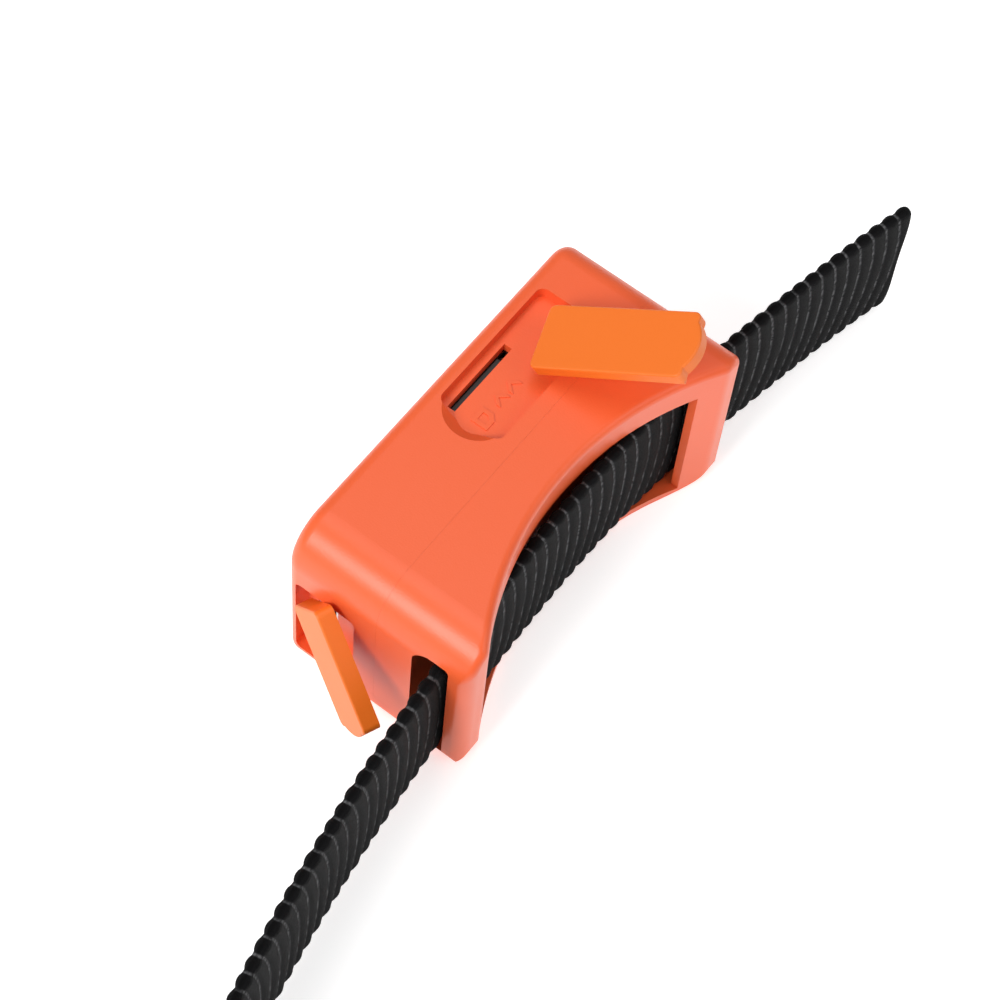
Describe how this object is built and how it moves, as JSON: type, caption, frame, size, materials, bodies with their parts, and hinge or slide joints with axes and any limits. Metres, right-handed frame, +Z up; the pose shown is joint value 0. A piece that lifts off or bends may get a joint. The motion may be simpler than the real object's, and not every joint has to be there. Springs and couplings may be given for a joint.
{
  "type": "collar tracker",
  "caption": "Orange two-piece collar tracker with a hollow neck side, on flat black webbing, its card and charging-port plugs swung open on ball stems.",
  "frame": {"origin": "on the resting face, under the middle of the housing's length and depth", "axes": "+X along the housing to its far end, +Y to the flat outer side, -Y to the hollow neck side, +Z up along the strap's width"},
  "size_m": [0.2019, 0.1067, 0.0471],
  "materials": {
    "housing": "satin moulded",
    "plug_rubber": "satin elastomer",
    "webbing": "woven, diagonal rib",
    "seal_rubber": "matt",
    "steel": "brushed",
    "screen_metal": "tinned",
    "battery_wrap": "pouch foil",
    "board": "solder mask",
    "antenna_ceramic": "matt fired",
    "flex_film": "film",
    "black_plastic": "moulded",
    "card_plastic": "printed card"
  },
  "bodies": {
    "housing": {"outer_shell": "housing", "neck_shell": "housing", "gasket": "seal_rubber", "screws": "steel", "battery": "battery_wrap", "main_board": "board", "patch_antenna": "antenna_ceramic", "shield_can": "screen_metal", "radio_module": "screen_metal", "buzzer": "black_plastic", "tail_antenna": "flex_film", "card_holder": "screen_metal", "card_board": "board", "port_shell": "steel", "port_tongue": "black_plastic", "port_board": "board", "strap": "webbing"},
    "data_card": {"data_card": "card_plastic"},
    "card_stem": {"card_plug_stem": "plug_rubber"},
    "card_plug": {"card_plug_cap": "plug_rubber", "card_plug_seal": "plug_rubber"},
    "port_stem": {"port_plug_stem": "plug_rubber"},
    "port_plug": {"port_plug_cap": "plug_rubber", "port_plug_seal": "plug_rubber"}
  },
  "joints": [
    {"name": "card_slide", "type": "slide", "parent": "housing", "child": "data_card", "axis": [0, 0, 1], "range_m": [-0.0003, 0.003]},
    {"name": "card_plug_swivel", "type": "hinge", "parent": "housing", "child": "card_stem", "pos_m": [0.01835, 0.00448, 0.03433], "axis": [0, 0, 1], "range_deg": [-107.28, 20]},
    {"name": "card_plug_tilt", "type": "hinge", "parent": "card_stem", "child": "card_plug", "pos_m": [0.01835, 0.00448, 0.03433], "axis": [-0.8707, -0.4919, 0], "range_deg": [-29.27, 1]},
    {"name": "port_plug_swivel", "type": "hinge", "parent": "housing", "child": "port_stem", "pos_m": [-0.03281, 0.0088, 0.02005], "axis": [1, 0, 0], "range_deg": [-8, 52.5]},
    {"name": "port_plug_tilt", "type": "hinge", "parent": "port_stem", "child": "port_plug", "pos_m": [-0.03281, 0.0088, 0.02005], "axis": [0, 0.08, -0.9968], "range_deg": [-10, 6]}
  ]
}
